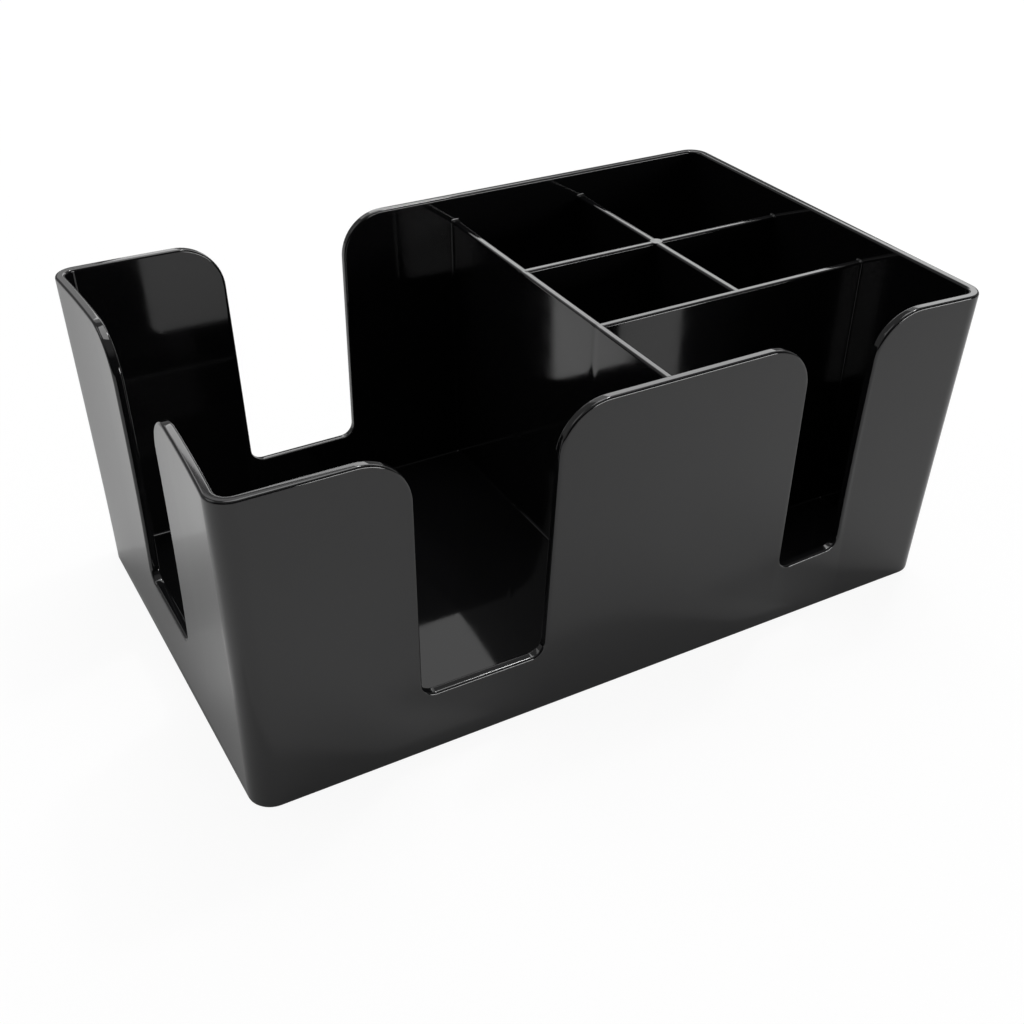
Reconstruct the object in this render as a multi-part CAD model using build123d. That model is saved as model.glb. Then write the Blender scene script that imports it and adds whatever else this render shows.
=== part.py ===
from build123d import *
import os
from math import radians, tan

# Bar caddy for napkins, straws and picks: one open-topped plastic moulding with a tall napkin bay on
# the left, a long bay along the front right and four small cells behind it. Slots that run down from
# the rim let a hand reach the napkins and straws.
# The moulding is drawn whole, so that its root fillets run as they do in the tool, and is then parted
# along the faces of its partitions into a tub and five partitions that fit back face to face.
#
# Frame, in millimetres: the origin is the middle of the standing face, +X runs to the right along the
# front, +Y to the back and +Z up.

# Outside of the tub
rim_length = 241.0
rim_width = 148.5
height = 102.5
end_wall_draft = 1.5
long_wall_draft = 2.2
corner_radius = 7.0

# Its wall, floor and foot
wall = 3.0
floor_thickness = 2.4
foot_ring_height = 0.8
foot_ring_width = 4.0

# Slots, seen square on: mouth widths are those of the straight sides carried up to the rim
slot_sill_height = 21.4
slot_side_draft = 1.3
slot_shoulder_radius = 15.0
slot_foot_radius = 4.5
napkin_slot_mouth = 42.4
front_napkin_slot_x = -48.6
back_napkin_slot_x = -46.6
end_slot_mouth = 40.0
end_slot_y = 0.0
straw_slot_mouth = 27.7

# Partitions
partition_drop = 8.7
partition_top_thickness = 2.7
partition_draft = 0.4
main_partition_x = 16.5
cell_partition_x = 67.8
front_cross_y = -22.2
rear_cross_y = 22.9
crossing_boss_diameter = 4.5

# Edges
outer_lip_round = 0.8
inner_lip_chamfer = 0.5
partition_top_round = 0.8
root_fillet = 0.8
base_edge_chamfer = 0.7

# Worked out from the sizes above
floor_top = foot_ring_height + floor_thickness
partition_top = height - partition_drop
plate_foot = foot_ring_height + floor_thickness / 2
overrun = 2 * wall
seam_margin = root_fillet / 4
same_place = 1e-4


def length_at(z):
    """Outside length of the tub at height z."""
    return rim_length - 2 * (height - z) * tan(radians(end_wall_draft))


def width_at(z):
    """Outside width of the tub at height z."""
    return rim_width - 2 * (height - z) * tan(radians(long_wall_draft))


def plate_thickness_at(z):
    """Thickness of a partition at height z: thinnest at its top, for draft."""
    return partition_top_thickness + 2 * (partition_top - z) * tan(radians(partition_draft))


def frustum(bottom, top, length, width):
    """A four-sided block between two heights, its length and width given as functions of height."""
    low_length = length(bottom)
    low_width = width(bottom)
    flare_x = (length(top) - low_length) / 2
    flare_y = (width(top) - low_width) / 2
    block = Wedge(
        low_length,
        top - bottom,
        low_width,
        -flare_x,
        -flare_y,
        low_length + flare_x,
        low_width + flare_y,
        align=(Align.CENTER, Align.MIN, Align.CENTER),
    )
    return Pos(0, 0, bottom) * Rot(X=90) * block


def drafted_block(bottom, top, inset):
    """The tub's outer form between two heights, drawn in by inset all round."""
    block = frustum(bottom, top, lambda z: length_at(z) - 2 * inset, lambda z: width_at(z) - 2 * inset)
    upright = block.edges().filter_by(lambda edge: abs(edge.tangent_at(0.5).Z) > 0.5)
    return fillet(upright, corner_radius - inset)


def at_height(edges, z):
    """The edges that lie flat at height z."""
    return edges.filter_by_position(Axis.Z, z - same_place, z + same_place)


def hollow_shell():
    """Outer form less the hollow and the shallow recess under the floor, which leaves a foot ring."""
    recess = RectangleRounded(
        length_at(0) - 2 * foot_ring_width,
        width_at(0) - 2 * foot_ring_width,
        corner_radius - foot_ring_width,
    )
    shell = drafted_block(0, height, 0)
    shell = chamfer(at_height(shell.edges(), 0), base_edge_chamfer)
    shell -= drafted_block(floor_top, height + overrun, wall)
    return shell - extrude(recess, foot_ring_height)


def slot_outline(mouth):
    """A slot seen square on: drafted sides, round foot corners, and shoulders that roll into the rim."""
    half_mouth = mouth / 2
    half_sill = half_mouth - (height - slot_sill_height) * tan(radians(slot_side_draft))
    reach = half_mouth + slot_shoulder_radius + overrun
    corners = [
        (-reach, height + overrun),
        (-reach, height),
        (-half_mouth, height),
        (-half_sill, slot_sill_height),
        (half_sill, slot_sill_height),
        (half_mouth, height),
        (reach, height),
        (reach, height + overrun),
    ]
    outline = make_face(Polyline(*corners, close=True))
    shoulders = outline.vertices().filter_by(lambda v: abs(abs(v.X) - half_mouth) < same_place)
    outline = fillet(shoulders, slot_shoulder_radius)
    feet = outline.vertices().filter_by(lambda v: abs(v.Y - slot_sill_height) < same_place)
    return fillet(feet, slot_foot_radius)


def slot_cutters():
    """The four slots as cutters that pass right through their walls."""
    front = -rim_width / 2
    reach = 2 * overrun
    facing_front = Plane(origin=(0, 0, 0), x_dir=(1, 0, 0), z_dir=(0, -1, 0))
    facing_left = Plane(origin=(0, 0, 0), x_dir=(0, -1, 0), z_dir=(-1, 0, 0))
    napkin = facing_front * slot_outline(napkin_slot_mouth)
    straw = facing_front * slot_outline(straw_slot_mouth)
    end = facing_left * slot_outline(end_slot_mouth)
    return [
        Pos(front_napkin_slot_x, front, 0) * extrude(napkin, reach, both=True),
        Pos(cell_partition_x, front, 0) * extrude(straw, reach, both=True),
        Pos(back_napkin_slot_x, -front, 0) * extrude(napkin, reach, both=True),
        Pos(-rim_length / 2, end_slot_y, 0) * extrude(end, reach, both=True),
    ]


def lips(solid, inset):
    """Edges of the rim and slots that lie on the drafted form: inset 0 for its outside, wall for inside."""
    form = drafted_block(0, height + overrun, inset).shell()
    from_sill_up = solid.edges().filter_by(
        lambda edge: edge.vertices().sort_by(Axis.Z)[0].Z > slot_sill_height - same_place
    )
    return from_sill_up.filter_by(lambda edge: form.distance_to(edge @ 0.5) < same_place)


def slotted_shell():
    """The shell with its slots and the soft lips that follow the rim down into each slot."""
    shell = hollow_shell() - slot_cutters()
    shell = fillet(lips(shell, 0), outer_lip_round)
    return chamfer(lips(shell, wall), inner_lip_chamfer)


def plate(run):
    """A drafted partition about the origin, run long, with a soft top edge along both of its sides."""
    solid = frustum(plate_foot, partition_top, lambda z: run, plate_thickness_at)
    top_edges = at_height(solid.edges(), partition_top)
    return fillet(top_edges.sort_by(SortBy.LENGTH)[-2:], partition_top_round)


def plate_along_x(y, start):
    """A partition that runs right from start until it is sunk half way into the right wall."""
    run = rim_length / 2 - start
    return Pos(start + run / 2, y, 0) * plate(run) & drafted_block(0, height, wall / 2)


def plate_along_y(x, start):
    """A partition that runs back from start until it is sunk half way into the back wall."""
    run = rim_width / 2 - start
    return Pos(x, start + run / 2, 0) * Rot(Z=90) * plate(run) & drafted_block(0, height, wall / 2)


def partition_plates():
    """The plain partitions, with their ends sunk in what carries them, and the boss at the crossing."""
    boss = Pos(cell_partition_x, rear_cross_y, plate_foot) * Cylinder(
        crossing_boss_diameter / 2, partition_top - plate_foot, align=(Align.CENTER, Align.CENTER, Align.MIN)
    )
    return {
        "main": plate_along_y(main_partition_x, -rim_width / 2),
        "front_cross": plate_along_x(front_cross_y, main_partition_x),
        "rear_cross": plate_along_x(rear_cross_y, main_partition_x),
        "cell": plate_along_y(cell_partition_x, front_cross_y),
        "boss": boss,
    }


def meets_tub_wall(edge):
    """True for the edges where a partition's end meets the inside of the back, front or right wall."""
    middle = edge.center()
    from_long_wall = width_at(middle.Z) / 2 - wall - abs(middle.Y)
    from_end_wall = length_at(middle.Z) / 2 - wall - middle.X
    return min(abs(from_long_wall), abs(from_end_wall)) < root_fillet / 2


def moulding(plates):
    """The whole caddy in one piece, with its root fillets at the floor and round each partition's end."""
    shell = slotted_shell()
    grid = plates["main"] + [solid for name, solid in plates.items() if name != "main"]
    body = shell + grid
    floor_lines = at_height(body.edges(), floor_top)
    end_lines = new_edges(shell, grid, combined=body).filter_by(
        lambda edge: edge.center().Z > floor_top + same_place and meets_tub_wall(edge)
    )
    return fillet(floor_lines + end_lines, root_fillet)


def band_along_y(x, start, end):
    """Space round a partition that runs front to back, wide enough to hold its root fillets."""
    breadth = plate_thickness_at(floor_top) + 2 * (root_fillet + seam_margin)
    tall = height - floor_top
    return Pos(x, (start + end) / 2, floor_top + tall / 2) * Box(breadth, end - start, tall)


def band_along_x(y, start, end):
    """Space round a partition that runs left to right, wide enough to hold its root fillets."""
    breadth = plate_thickness_at(floor_top) + 2 * (root_fillet + seam_margin)
    tall = height - floor_top
    return Pos((start + end) / 2, y, floor_top + tall / 2) * Box(end - start, breadth, tall)


def part_moulding(body, plates):
    """Parts the moulding into the tub and its partitions: each takes the fillets at its own ends."""
    hollow = drafted_block(floor_top, height + overrun, wall)
    inner = body & hollow
    right = rim_length / 2
    back = rim_width / 2

    rear_cell = inner & band_along_y(cell_partition_x, rear_cross_y, back)
    rear_cell = rear_cell - [plates["rear_cross"], plates["boss"]]
    front_cell = inner & band_along_y(cell_partition_x, front_cross_y, rear_cross_y)
    front_cell = front_cell - [plates["rear_cross"], plates["front_cross"], plates["boss"]]
    front_cross = inner & band_along_x(front_cross_y, main_partition_x, right)
    front_cross = front_cross - [plates["main"], front_cell]
    rear_cross = inner & band_along_x(rear_cross_y, main_partition_x, right)
    rear_cross = rear_cross - [plates["main"], front_cell, rear_cell]
    main = (inner & band_along_y(main_partition_x, -back, back)) - [front_cross, rear_cross]

    partitions = {
        "main_partition": main,
        "front_cross_partition": front_cross,
        "rear_cross_partition": rear_cross,
        "front_cell_partition": front_cell,
        "rear_cell_partition": rear_cell,
    }
    tub = body - list(partitions.values())
    return {"tub": tub, **partitions}


plates = partition_plates()
pieces = part_moulding(moulding(plates), plates)
os.makedirs("parts", exist_ok=True)
for name, solid in pieces.items():
    export_step(solid, f"parts/{name}.step")
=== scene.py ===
from math import cos, pi, radians, sin, tan

import bmesh
import bpy
from mathutils import Matrix, Vector


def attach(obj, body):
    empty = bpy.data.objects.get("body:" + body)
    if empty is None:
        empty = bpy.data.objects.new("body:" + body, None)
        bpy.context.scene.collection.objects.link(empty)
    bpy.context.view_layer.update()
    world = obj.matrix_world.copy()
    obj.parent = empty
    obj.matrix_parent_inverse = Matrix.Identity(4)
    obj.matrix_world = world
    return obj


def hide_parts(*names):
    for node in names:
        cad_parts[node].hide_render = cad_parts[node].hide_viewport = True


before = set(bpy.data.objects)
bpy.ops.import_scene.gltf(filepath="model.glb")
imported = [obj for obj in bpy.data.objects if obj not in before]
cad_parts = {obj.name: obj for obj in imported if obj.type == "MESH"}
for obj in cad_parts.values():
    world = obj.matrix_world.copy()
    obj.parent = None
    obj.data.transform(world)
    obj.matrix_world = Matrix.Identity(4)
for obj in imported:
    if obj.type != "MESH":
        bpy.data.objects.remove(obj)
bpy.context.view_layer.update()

MM = 0.001


# Tub: floor, four drafted walls with round corners, a soft rim and four hand slots, in one shot of
# high-gloss black ABS. It is pushed out of a polished tool by its floor, so nothing is fixed to it,
# and every edge of the rim and slots is eased so that it doesn't catch a hand.

rim_half_length, rim_half_width, height = 120.5 * MM, 74.25 * MM, 102.5 * MM
end_slope, long_slope = tan(radians(1.5)), tan(radians(2.2))
corner_radius, wall = 7.0 * MM, 3.0 * MM
outer_lip, inner_lip, base_round = 0.85 * MM, 0.75 * MM, 1.0 * MM
ring_width, ring_height, ring_round = 4.0 * MM, 0.8 * MM, 0.3 * MM
floor_top, root_fillet = 3.2 * MM, 0.8 * MM
sill, sill_slope, slot_tilt = 21.4 * MM, tan(radians(5)), radians(1.3)
shoulder, foot = 15.0 * MM, 4.5 * MM
shoulder_steps, side_steps, foot_steps, corner_steps = 18, 8, 10, 12
rim_step, slot_margin, corner_margin = 7.0 * MM, 7.0 * MM, 4.0 * MM
# The walls are counted front, right, back, left, and each runs against the clock as seen from above.
wall_runs = [Vector((1, 0)), Vector((0, 1)), Vector((-1, 0)), Vector((0, -1))]
# Slots of each wall: where along the wall, and half their width carried up to the rim.
slots = {
    0: [(-48.6 * MM, 21.2 * MM), (67.8 * MM, 13.85 * MM)],
    2: [(46.6 * MM, 21.2 * MM)],
    3: [(0, 20.0 * MM)],
}
# How far the arms beside the slots have sprung in at the rim, and how far the left wall's two differ.
left_spring, left_unlike, front_spring, back_spring = 2.25 * MM, 0.15 * MM, 2.6 * MM, 1.05 * MM


def half_length(z):
    return rim_half_length - (height - z) * end_slope


def half_width(z):
    return rim_half_width - (height - z) * long_slope


def slot_edge(middle, half_mouth):
    """One slot as (along, height, inward direction), over its shoulders and down to its sill."""
    side = middle - half_mouth
    shoulder_at = side - shoulder * (1 - sin(slot_tilt)) / cos(slot_tilt)
    foot_at = side + (foot + (height - sill - foot) * sin(slot_tilt)) / cos(slot_tilt)
    half = []
    for step in range(shoulder_steps + 1):
        turn = pi / 2 + (slot_tilt - pi / 2) * step / shoulder_steps
        spot = (shoulder_at + shoulder * cos(turn), height - shoulder + shoulder * sin(turn))
        half.append((*spot, -cos(turn), -sin(turn)))
    for step in range(1, side_steps):
        drop = step * (height - shoulder - sill - foot) / side_steps
        half.append((spot[0] + drop * tan(slot_tilt), spot[1] - drop, -cos(slot_tilt), -sin(slot_tilt)))
    for step in range(foot_steps + 1):
        turn = pi + slot_tilt + (pi / 2 - slot_tilt) * step / foot_steps
        half.append((foot_at + foot * cos(turn), sill + foot + foot * sin(turn), cos(turn), sin(turn)))
    return half + [(2 * middle - a, z, -na, nz) for a, z, na, nz in reversed(half)]


def rim_path():
    """Stations round the rim and down into every slot, against the clock as seen from above."""
    stations = []
    for side in range(4):
        reach = (rim_half_length if side % 2 == 0 else rim_half_width) - corner_radius
        last = -reach + corner_margin
        stations.append((side, -1, "tangent", height, 0, -1))
        for slot in slots.get(side, []) + [None]:
            edge = slot_edge(*slot) if slot else []
            until = edge[0][0] if edge else reach - corner_margin
            steps = max(1, round((until - last) / rim_step))
            spots = [last + (until - last) * k / steps for k in range(steps + (not edge))]
            stations += [(side, along, "flat", height, 0, -1) for along in spots]
            stations += [(side, along, "flat", z, na, nz) for along, z, na, nz in edge]
            last = edge[-1][0] + slot_margin if edge else last
        stations.append((side, 1, "tangent", height, 0, -1))
        turns = [pi / 2 * step / corner_steps for step in range(1, corner_steps)]
        stations += [(side, turn, "corner", height, 0, -1) for turn in turns]
    return stations


def share(value, full):
    """How much of full a value comes to, from 0 to 1."""
    return min(1, max(0, value / full))


def sprung(x, y, z):
    """The point as it is on the real caddy, where the arms beside the slots have sprung inwards a little."""
    rise = 1 - (1 - z / height) ** 3  # held by the floor, free at the rim
    if x < -110 * MM:  # left wall: both arms, held by the corners
        most = left_spring + left_unlike * max(-1, min(1, y / (20 * MM)))
        x += rise * most * (1 - (1 - share(72 * MM - abs(y), 52 * MM)) ** 2)
    if y < -60 * MM:  # front wall: the arm right of the straw slot
        y += rise * front_spring * share(rim_half_length - x, 38 * MM) * share(x - 54 * MM, 28 * MM)
    if y > 60 * MM:  # back wall: the arm left of the napkin slot
        y -= rise * back_spring * share(rim_half_length + x, 52 * MM) ** 2 * share(-24 * MM - x, 44 * MM)
    return (x, y, z)


def section_point(station, inset, depth, z=None):
    """A point of a station's section: inset into the wall's face from its edge, and depth through it."""
    side, along, kind, edge_z, na, nz = station
    # A sill falls outwards, drafted to let the tool part.
    sill_fall = (depth - wall / 2) * sill_slope * -nz if edge_z < sill + foot else 0
    lift = edge_z + nz * inset + sill_fall
    lift = lift if z is None else min(z, lift)
    run, out = wall_runs[side], wall_runs[side - 1]
    reach, span = half_width(lift), half_length(lift)
    if side % 2 == 1:
        reach, span = span, reach
    if kind == "corner":
        ray = out * cos(along) + run * sin(along)
        flat = run * (span - corner_radius) + out * (reach - corner_radius) + ray * (corner_radius - depth)
    else:
        at = along * (span - corner_radius) if kind == "tangent" else along + na * inset
        flat = run * at + out * (reach - depth)
    return sprung(flat.x, flat.y, lift)


def quarter(steps):
    """The angles of a quarter turn."""
    return [pi / 2 * step / steps for step in range(steps + 1)]


def tub_sections():
    """(inset, depth, height) from the recess below, over the foot, up, over the lip and down inside."""
    levels = [z * MM for z in (6, 12, 20, 30, 42, 56, 72, 88)]
    path = [(outer_lip, ring_width, ring_height)]
    path += [(outer_lip, ring_width - ring_round * (1 - cos(t)), ring_round * (1 - sin(t))) for t in quarter(3)]
    path += [(outer_lip, base_round * (1 - sin(t)), base_round * (1 - cos(t))) for t in quarter(6)]
    path += [(outer_lip, 0, z) for z in levels]
    path += [(outer_lip * (1 - sin(t)), outer_lip * (1 - cos(t)), None) for t in quarter(6)]
    path += [(inner_lip * (1 - cos(t)), wall - inner_lip * (1 - sin(t)), None) for t in quarter(6)]
    path += [(inner_lip, wall, z) for z in reversed(levels)]
    for t in quarter(6):
        path.append((inner_lip, wall + root_fillet * (1 - cos(t)), floor_top + root_fillet * (1 - sin(t))))
    return path


def tub_mesh():
    """One closed skin: the section's points at every station, joined row by row, with the floor's two faces."""
    stations, sections = rim_path(), tub_sections()
    count = len(stations)
    points = [section_point(station, *section) for section in sections for station in stations]
    faces = []
    for row in range(0, len(points) - count, count):
        for s in range(count):
            after = (s + 1) % count
            faces.append((row + s, row + after, row + count + after, row + count + s))
    faces += [tuple(reversed(range(count))), tuple(range(len(points) - count, len(points)))]
    mesh = bpy.data.meshes.new("tub")
    mesh.from_pydata(points, [], faces)
    shell = bmesh.new()
    shell.from_mesh(mesh)
    # Where a level stops short at a slot, its points fall on those above it.
    bmesh.ops.remove_doubles(shell, verts=shell.verts, dist=0.001 * MM)
    shell.to_mesh(mesh)
    shell.free()
    return mesh


def smooth_piece(name, mesh):
    """An object whose flat faces shade flat right up to its rounds."""
    piece = bpy.data.objects.new(name, mesh)
    bpy.context.scene.collection.objects.link(piece)
    mesh.shade_smooth()
    mesh.set_sharp_from_angle(angle=radians(40))
    weighted = piece.modifiers.new("flat_faces_first", "WEIGHTED_NORMAL")
    weighted.keep_sharp = True
    weighted.weight = 100
    baked = bpy.data.meshes.new_from_object(piece.evaluated_get(bpy.context.evaluated_depsgraph_get()))
    piece.modifiers.clear()
    piece.data = baked
    baked.name = name
    return piece


def srgb(text):
    """A hex colour as the linear values that a shader takes."""
    parts = [int(text[i:i + 2], 16) / 255 for i in (1, 3, 5)]
    return [c / 12.92 if c <= 0.04045 else ((c + 0.055) / 1.055) ** 2.4 for c in parts] + [1.0]


def add(tree, kind, inputs=(), **settings):
    """A node with its settings and inputs: each input takes a value, an output, or a node's first output."""
    node = tree.nodes.new(kind)
    for key, value in settings.items():
        setattr(node, key, value)
    for key, value in inputs.items() if isinstance(inputs, dict) else enumerate(inputs):
        source = value.outputs[0] if isinstance(value, bpy.types.Node) else value
        if isinstance(source, bpy.types.NodeSocket):
            tree.links.new(source, node.inputs[key])
        else:
            node.inputs[key].default_value = value
    return node


def bell(tree, spot, middle, width):
    """A smooth hump across Y: 1 along its middle, 1/e a width away, and next to nothing at two."""
    along = add(tree, "ShaderNodeSeparateXYZ", [spot]).outputs[1]
    off = add(tree, "ShaderNodeMath", [along, middle], operation="SUBTRACT")
    off = add(tree, "ShaderNodeMath", [off, width], operation="DIVIDE")
    off = add(tree, "ShaderNodeMath", [off, 2.0], operation="POWER")
    left_at_width = 0.3679
    return add(tree, "ShaderNodeMath", [left_at_width, off], operation="POWER")


def moulded_black_abs(name, polish, drawn=0, sinks=(), floor_bow=0):
    """High-gloss ABS off a polished tool: near black, mirror-like, faintly wavy, and sunk along each rib."""
    material = bpy.data.materials.new(name)
    material.use_nodes = True
    tree = material.node_tree
    tree.nodes.clear()
    spot = add(tree, "ShaderNodeTexCoord").outputs["Object"]

    # The wall shrinks a few microns unevenly over every 30 mm or so, which bends reflections a little.
    shrink = add(tree, "ShaderNodeTexNoise",
                 {"Vector": spot, "Scale": 1 / (30 * MM), "Detail": 1.0, "Roughness": 0.4})
    bump = add(tree, "ShaderNodeBump", {"Height": shrink, "Strength": 1.0, "Distance": 0.02 * MM})

    # Where a rib joins at the back the plastic is thicker and cools last, which draws a furrow 0.06 mm deep.
    for sink in sinks:
        furrow = bell(tree, spot, sink, 1.5 * MM)
        bump = add(tree, "ShaderNodeBump",
                   {"Height": furrow, "Strength": 1.0, "Distance": -0.06 * MM, "Normal": bump})

    # The floor bows up along its middle, which pulls the bright mirror image in the napkin bay backwards.
    if floor_bow:
        bow = bell(tree, spot, 5 * MM, 40 * MM)
        bowed = add(tree, "ShaderNodeBump",
                    {"Height": bow, "Strength": 1.0, "Distance": floor_bow, "Normal": bump})
        level = add(tree, "ShaderNodeSeparateXYZ", [spot]).outputs[2]
        on_floor = add(tree, "ShaderNodeMath", [level, floor_top + 0.05 * MM], operation="LESS_THAN")
        bump = add(tree, "ShaderNodeMix", {0: on_floor, 4: bump, 5: bowed}, data_type="VECTOR").outputs[1]

    # Handling leaves a haze in soft patches about 12 mm across.
    haze = add(tree, "ShaderNodeTexNoise", {"Vector": spot, "Scale": 1 / (12 * MM), "Detail": 3.0})
    gloss = add(tree, "ShaderNodeMapRange",
                {"Value": haze, "From Min": 0.35, "From Max": 0.7, "To Min": polish, "To Max": 1.5 * polish})

    # Pigment flows with the melt, in clouds about 45 mm long that hardly show.
    flow = add(tree, "ShaderNodeTexNoise", {"Vector": spot, "Scale": 1 / (45 * MM), "Detail": 2.0})
    black = add(tree, "ShaderNodeMix", {0: flow, 6: srgb("#0E0E0F"), 7: srgb("#131314")}, data_type="RGBA")

    # A drawn polish runs up and down, the way the core leaves its slots, and smears mirror images sideways.
    facing = add(tree, "ShaderNodeNewGeometry").outputs["Normal"]
    sideways = add(tree, "ShaderNodeVectorMath", [(0, 0, 1), facing], operation="CROSS_PRODUCT")
    plastic = add(tree, "ShaderNodeBsdfPrincipled",
                  {"Base Color": black.outputs[2], "Roughness": gloss, "Normal": bump, "IOR": 1.6,
                   "Anisotropic": drawn, "Tangent": sideways})
    add(tree, "ShaderNodeOutputMaterial", {"Surface": plastic})
    return material


tub = smooth_piece("moulded_tub", tub_mesh())
tub.data.materials.append(moulded_black_abs("high_gloss_black_ABS_moulded", 0.045, floor_bow=2.2 * MM))
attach(tub, "root")
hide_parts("tub")


# Partitions: drafted plates of the same shot, a little lower than the rim. Their top edges are soft,
# and a root fillet runs along their feet and up their ends, where they grow out of the tub's walls.
# One rule makes them all: a section swept between two ends that lie on what they meet.

partition_top, half_top, plate_slope, top_round = 93.8 * MM, 1.35 * MM, tan(radians(0.4)), 0.8 * MM
main_x, cell_x, front_y, rear_y = 16.5 * MM, 67.8 * MM, -22.2 * MM, 22.9 * MM
end_keys = ("", "Lean", "Flare", "Notch")


def partition_rule():
    """Sweeps a section along X or Y. A Flare spreads an end onto its wall; a Notch lays it over a round top."""
    tree = bpy.data.node_groups.new("moulded_partition", "GeometryNodeTree")
    tree.is_modifier = True
    tree.interface.new_socket("Section", in_out="INPUT", socket_type="NodeSocketGeometry")
    sizes = [f"{name} {key}".strip() for name in ("Start", "End") for key in end_keys]
    for name in ["Round", "Top", "Across"] + sizes:
        tree.interface.new_socket(name, in_out="INPUT", socket_type="NodeSocketFloat")
    tree.interface.new_socket("Along Y", in_out="INPUT", socket_type="NodeSocketBool")
    tree.interface.new_socket("Material", in_out="INPUT", socket_type="NodeSocketMaterial")
    tree.interface.new_socket("Plate", in_out="OUTPUT", socket_type="NodeSocketGeometry")
    given = add(tree, "NodeGroupInput").outputs

    # The section gets its rounds, and remembers for every point where it lies and which way it runs.
    section = add(tree, "GeometryNodeMeshToCurve", [given["Section"]])
    section = add(tree, "GeometryNodeFilletCurve",
                  {"Curve": section, "Count": 6, "Radius": given["Round"]}, mode="POLY")
    drawn = add(tree, "GeometryNodeCaptureAttribute", [section])
    drawn.capture_items.new("VECTOR", "Place")
    drawn.capture_items.new("VECTOR", "Run")
    tree.links.new(add(tree, "GeometryNodeInputPosition").outputs[0], drawn.inputs[1])
    tree.links.new(add(tree, "GeometryNodeInputTangent").outputs[0], drawn.inputs[2])
    closed = add(tree, "GeometryNodeSetSplineCyclic", {"Geometry": drawn, "Cyclic": True})

    # Fourteen stations: seven for each end's fillet, with the plain stretch between the two lots.
    run = add(tree, "GeometryNodeCurvePrimitiveLine", {"End": (1, 0, 0)})
    run = add(tree, "GeometryNodeResampleCurve", {"Curve": run, "Count": 14})
    counted = add(tree, "GeometryNodeCaptureAttribute", [run])
    counted.capture_items.new("FLOAT", "Station")
    tree.links.new(add(tree, "GeometryNodeInputIndex").outputs[0], counted.inputs[1])
    plate = add(tree, "GeometryNodeCurveToMesh", {"Curve": counted, "Profile Curve": closed, "Fill Caps": True})
    station = counted.outputs[1]
    late = add(tree, "FunctionNodeCompare", {"A": station, "B": 6.5}, data_type="FLOAT", operation="GREATER_THAN")
    end = {}
    for key in end_keys:
        both = [given[f"{name} {key}".strip()] for name in ("Start", "End")]
        end[key] = add(tree, "GeometryNodeSwitch", [late, *both], input_type="FLOAT")

    # Fillet: a quarter turn, which moves a point out along the section's normal as it nears the wall.
    from_end = add(tree, "ShaderNodeMath", [13, station], operation="SUBTRACT")
    from_end = add(tree, "ShaderNodeMath", [station, from_end], operation="MINIMUM")
    turn = add(tree, "ShaderNodeMath", [from_end, pi / 12], operation="MULTIPLY")
    spread = add(tree, "ShaderNodeMath", [turn], operation="SINE")
    spread = add(tree, "ShaderNodeMath", [1, spread], operation="SUBTRACT")
    spread = add(tree, "ShaderNodeMath", [spread, end["Flare"]], operation="MULTIPLY")
    normal = add(tree, "ShaderNodeVectorMath", [(1, 0, 0), drawn.outputs[2]], operation="CROSS_PRODUCT")
    spot = add(tree, "ShaderNodeVectorMath", [normal, spread, drawn.outputs[1]], operation="MULTIPLY_ADD")
    spot = add(tree, "ShaderNodeSeparateXYZ", [spot])
    away = add(tree, "ShaderNodeMath", [turn], operation="COSINE")
    away = add(tree, "ShaderNodeMath", [1, away], operation="SUBTRACT")
    away = add(tree, "ShaderNodeMath", [away, end["Flare"]], operation="MULTIPLY")

    # Notch: over the height of the other plate's top round, the end follows that round.
    brim = add(tree, "ShaderNodeMath", [given["Top"], end["Notch"]], operation="SUBTRACT")
    above = add(tree, "ShaderNodeMath", [spot.outputs[2], brim], operation="SUBTRACT")
    above = add(tree, "ShaderNodeMath", [above, 0], operation="MAXIMUM")
    above = add(tree, "ShaderNodeMath", [above, 2], operation="POWER")
    left = add(tree, "ShaderNodeMath", [end["Notch"], 2], operation="POWER")
    left = add(tree, "ShaderNodeMath", [left, above], operation="SUBTRACT")
    left = add(tree, "ShaderNodeMath", [left, 0], operation="MAXIMUM")
    left = add(tree, "ShaderNodeMath", [left], operation="SQRT")
    sunk = add(tree, "ShaderNodeMath", [end["Notch"], left], operation="SUBTRACT")
    away = add(tree, "ShaderNodeMath", [away, sunk], operation="SUBTRACT")

    # Each end leans with what it meets.
    inward = add(tree, "GeometryNodeSwitch", [late, 1.0, -1.0], input_type="FLOAT")
    along = add(tree, "ShaderNodeMath", [end["Lean"], spot.outputs[2], end[""]], operation="MULTIPLY_ADD")
    along = add(tree, "ShaderNodeMath", [inward, away, along], operation="MULTIPLY_ADD")
    side = add(tree, "ShaderNodeMath", [given["Across"], spot.outputs[1]], operation="ADD")
    along_x = add(tree, "ShaderNodeCombineXYZ", [along, side, spot.outputs[2]])
    side = add(tree, "ShaderNodeMath", [given["Across"], spot.outputs[1]], operation="SUBTRACT")
    along_y = add(tree, "ShaderNodeCombineXYZ", [side, along, spot.outputs[2]])
    spot = add(tree, "GeometryNodeSwitch", [given["Along Y"], along_x, along_y], input_type="VECTOR")
    plate = add(tree, "GeometryNodeSetPosition", {"Geometry": plate, "Position": spot})
    plate = add(tree, "GeometryNodeMergeByDistance", {"Geometry": plate, "Distance": 0.002 * MM})
    plate = add(tree, "GeometryNodeFlipFaces", [plate])
    plate = add(tree, "GeometryNodeRealizeInstances", [plate])
    plate = add(tree, "GeometryNodeSetMaterial", {"Geometry": plate, "Material": given["Material"]})
    add(tree, "NodeGroupOutput", [plate])
    return tree


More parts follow.
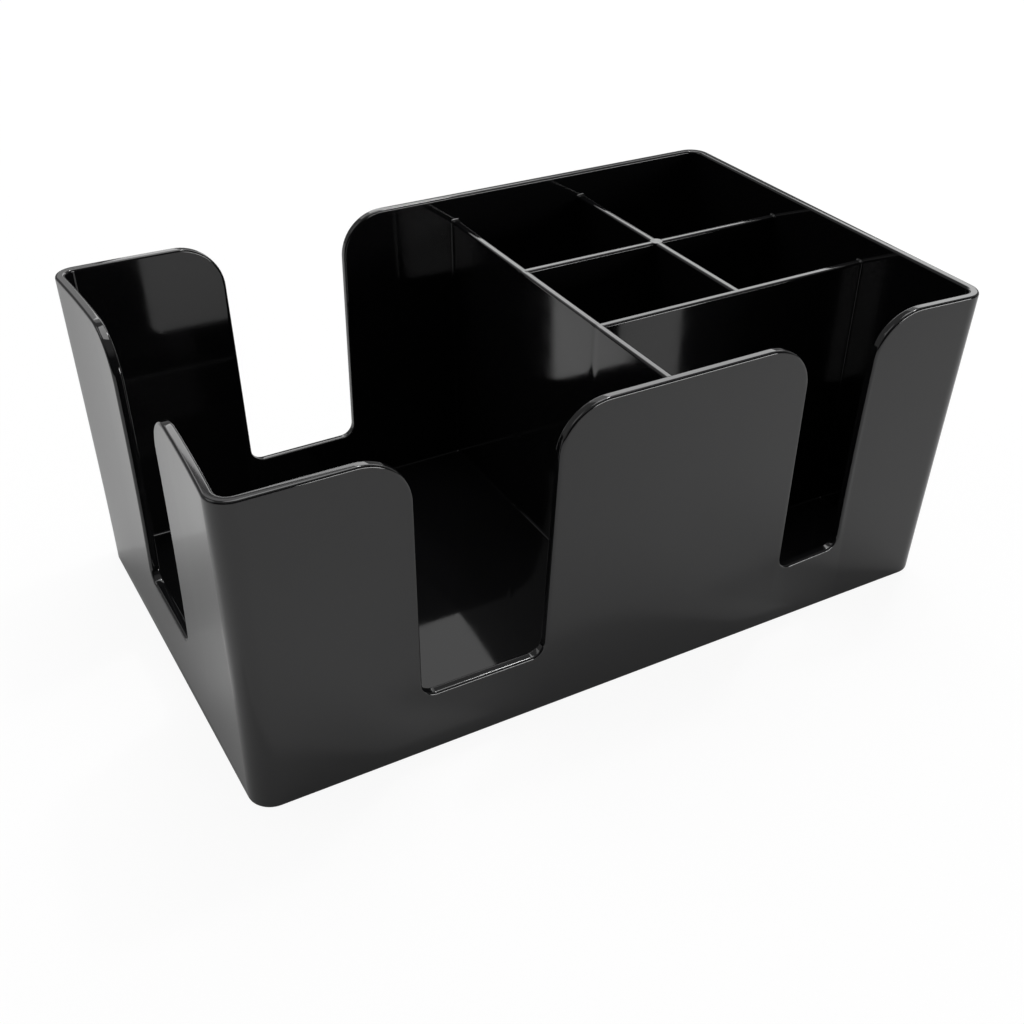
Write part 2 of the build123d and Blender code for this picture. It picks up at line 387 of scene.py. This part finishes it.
def partition(name, node, material, **sizes):
    """One partition from the rule, as a plain mesh that stands for its CAD node."""
    half_foot = half_top + (partition_top - floor_top) * plate_slope
    stub = half_foot + 1.05 * root_fillet
    section = [(0, -stub, floor_top), (0, -half_foot, floor_top), (0, -half_top, partition_top)]
    section += [(0, -y, z) for _, y, z in reversed(section)]
    mesh = bpy.data.meshes.new(name + "_section")
    mesh.from_pydata(section, [(i, i + 1) for i in range(5)], [])
    source = bpy.data.objects.new(name + "_section", mesh)
    bpy.context.scene.collection.objects.link(source)
    rule = source.modifiers.new("rule", "NODES")
    rule.node_group = partition_tree
    values = {"Round": top_round, "Top": partition_top, "Material": material}
    values |= {key.replace("_", " ").title(): value for key, value in sizes.items()}
    for item in partition_tree.interface.items_tree:
        if item.in_out == "INPUT" and item.name in values:
            rule[item.identifier] = values[item.name]
    swept = bpy.data.meshes.new_from_object(source.evaluated_get(bpy.context.evaluated_depsgraph_get()))
    bpy.data.objects.remove(source)
    piece = smooth_piece(name, swept)
    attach(piece, "root")
    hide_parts(node)


partition_tree = partition_rule()
wall_x, wall_y = half_length(0) - wall, half_width(0) - wall
half_plate = half_top + partition_top * plate_slope  # half a plate's thickness, carried down to the table
sunk_plastic = moulded_black_abs("draw_polished_black_ABS_sunk_at_ribs", 0.06, 0.8, (front_y, rear_y))
core_plastic = moulded_black_abs("draw_polished_black_ABS_moulded", 0.06, 0.8)
partition("main_partition_plate", "main_partition", sunk_plastic, along_y=True, across=main_x,
          start=-wall_y, start_lean=-long_slope, start_flare=root_fillet,
          end=wall_y, end_lean=long_slope, end_flare=root_fillet)
for place, y in (("front", front_y), ("rear", rear_y)):
    partition(f"{place}_cross_plate", f"{place}_cross_partition", core_plastic, across=y,
              start=main_x + half_plate, start_lean=-plate_slope, start_notch=top_round,
              end=wall_x, end_lean=end_slope, end_flare=root_fillet)
partition("front_cell_plate", "front_cell_partition", core_plastic, along_y=True, across=cell_x,
          start=front_y + half_plate, start_lean=-plate_slope, start_notch=top_round,
          end=rear_y - half_plate, end_lean=plate_slope, end_notch=top_round)
partition("rear_cell_plate", "rear_cell_partition", core_plastic, along_y=True, across=cell_x,
          start=rear_y + half_plate, start_lean=-plate_slope, start_notch=top_round,
          end=wall_y, end_lean=long_slope, end_flare=root_fillet)


# Boss: the round pad where an ejector pin pushed on the crossing of the partitions. It is of the same
# shot and gloss, and stands a twentieth of a millimetre proud of them, so that its outline just shows.

boss_radius, boss_round, boss_proud, boss_sides = 2.25 * MM, 0.25 * MM, 0.05 * MM, 48
boss_top = partition_top + boss_proud
outline = [(boss_radius, floor_top)]
outline += [(boss_radius - boss_round * (1 - cos(t)), boss_top - boss_round * (1 - sin(t))) for t in quarter(5)]
points = []
for r, z in outline:
    turns = [2 * pi * k / boss_sides for k in range(boss_sides)]
    points += [(cell_x + r * cos(turn), rear_y + r * sin(turn), z) for turn in turns]
faces = []
for row in range(0, len(points) - boss_sides, boss_sides):
    for k in range(boss_sides):
        after = (k + 1) % boss_sides
        faces.append((row + k, row + after, row + boss_sides + after, row + boss_sides + k))
faces += [tuple(reversed(range(boss_sides))), tuple(range(len(points) - boss_sides, len(points)))]
boss_mesh = bpy.data.meshes.new("crossing_boss")
boss_mesh.from_pydata(points, [], faces)
boss = smooth_piece("crossing_boss", boss_mesh)
boss.data.materials.append(core_plastic)
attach(boss, "root")


# Table: a sheet of matt white paper that runs on behind the object, lit by the same lamps. The camera
# sees it whiter than it is lit, by the shares below, and it keeps the object's shadow.

table_half, camera_share, glossy_share = 4.0, 0.89, 0.11


def white_paper():
    """Matt white paper, which shows no shine and takes soft shadows."""
    material = bpy.data.materials.new("matt_white_sweep_paper")
    material.use_nodes = True
    tree = material.node_tree
    tree.nodes.clear()
    ray = add(tree, "ShaderNodeLightPath").outputs
    paper = add(tree, "ShaderNodeBsdfDiffuse", {"Color": srgb("#F0F0F0")})
    glow = add(tree, "ShaderNodeEmission", {"Color": srgb("#FFFFFF"), "Strength": 1.04})
    seen = add(tree, "ShaderNodeMath", [ray["Is Camera Ray"], camera_share], operation="MULTIPLY")
    lit = add(tree, "ShaderNodeMath", [ray["Is Glossy Ray"], glossy_share, seen], operation="MULTIPLY_ADD")
    mix = add(tree, "ShaderNodeMixShader", [lit, paper, glow])
    add(tree, "ShaderNodeOutputMaterial", {"Surface": mix})
    return material


table_mesh = bpy.data.meshes.new("table")
corners = [(-1, -1), (1, -1), (1, 1), (-1, 1)]
table_mesh.from_pydata([(x * table_half, y * table_half, 0) for x, y in corners], [], [(0, 1, 2, 3)])
table = bpy.data.objects.new("table", table_mesh)
bpy.context.scene.collection.objects.link(table)
table_mesh.materials.append(white_paper())


# Light: a pale room whose near end is dark. Behind the object stands a wide soft box with two dimmer ones
# beside and over it, one hangs above beside a small bright lamp, one is on the left, and a low strip is in
# front. They are what the gloss mirrors: lands of the rim, glints at the slots' shoulders, the floor's patch.

room_level, near_end_level, towards_near_end = 0.28, 0.02, (-0.1, -0.99, 0)
world = bpy.data.worlds.new("white_room")
bpy.context.scene.world = world
world.use_nodes = True
tree = world.node_tree
tree.nodes.clear()
ray = add(tree, "ShaderNodeLightPath").outputs
way = add(tree, "ShaderNodeTexCoord").outputs["Generated"]
near = add(tree, "ShaderNodeVectorMath", [way, towards_near_end], operation="DOT_PRODUCT").outputs["Value"]
near = add(tree, "ShaderNodeMapRange", {"Value": near, "From Min": 0.05, "From Max": 0.35})
rise = add(tree, "ShaderNodeSeparateXYZ", [way]).outputs[2]
low = add(tree, "ShaderNodeMapRange", {"Value": rise, "From Min": 0.8, "From Max": 0.6})
dark = add(tree, "ShaderNodeMath", [near, low], operation="MULTIPLY")
level = add(tree, "ShaderNodeMapRange", {"Value": dark, "To Min": room_level, "To Max": near_end_level})
seen = add(tree, "ShaderNodeMath", [ray["Is Camera Ray"], ray["Is Transmission Ray"]], operation="MAXIMUM")
strength = add(tree, "ShaderNodeMapRange", {"Value": seen, "To Min": level, "To Max": 1.0})
room = add(tree, "ShaderNodeBackground", {"Color": srgb("#FFFFFF"), "Strength": strength})
add(tree, "ShaderNodeOutputWorld", {"Surface": room})


def soft_box(name, location, size, radiance):
    """A soft box that faces the middle of the object, with its size in metres and its brightness."""
    lamp = bpy.data.lights.new(name, "AREA")
    lamp.shape = "RECTANGLE"
    lamp.size, lamp.size_y = size
    lamp.energy = radiance * pi * size[0] * size[1]
    box = bpy.data.objects.new(name, lamp)
    box.location = location
    box.rotation_euler = (Vector((0, 0, 0.05)) - Vector(location)).to_track_quat("-Z", "Y").to_euler()
    bpy.context.scene.collection.objects.link(box)


soft_box("back_soft_box", (1.083, 1.438, 1.048), (2.0, 0.52), 2.4)
soft_box("back_left_box", (-0.031, 1.8, 1.048), (0.57, 0.52), 0.7)
soft_box("back_upper_box", (0.78, 1.46, 1.545), (2.8, 0.46), 0.65)
soft_box("top_soft_box", (0.35, 0.4, 1.9), (1.0, 1.2), 2.9)
soft_box("top_lamp", (0.79, 0.33, 1.97), (0.18, 0.18), 55.0)
soft_box("left_soft_box", (-1.3, 0.7, 1.5), (1.0, 1.0), 1.0)
soft_box("front_strip_box", (0.90, -1.77, 0.29), (1.0, 0.42), 9.0)


# Camera: where the photographer stood, front left and above, worked out from the object's own edges.

camera_place = Vector((-184.6, -325.3, 270.3)) * MM
turn, dip, roll = radians(29.56), radians(33.88), radians(0.53)
lens = bpy.data.cameras.new("camera")
lens.sensor_width = 36
lens.lens = 47.30
camera = bpy.data.objects.new("camera", lens)
bpy.context.scene.collection.objects.link(camera)
sideways = Vector((cos(turn), -sin(turn), 0))
forward = Vector((sin(turn) * cos(dip), cos(turn) * cos(dip), -sin(dip)))
upward = sideways.cross(forward)
right = cos(roll) * sideways + sin(roll) * upward
up = -sin(roll) * sideways + cos(roll) * upward
axes = Matrix((right, up, -forward)).transposed().to_4x4()
camera.matrix_world = Matrix.Translation(camera_place) @ axes
bpy.context.scene.camera = camera
bpy.context.scene.view_settings.view_transform = "Standard"
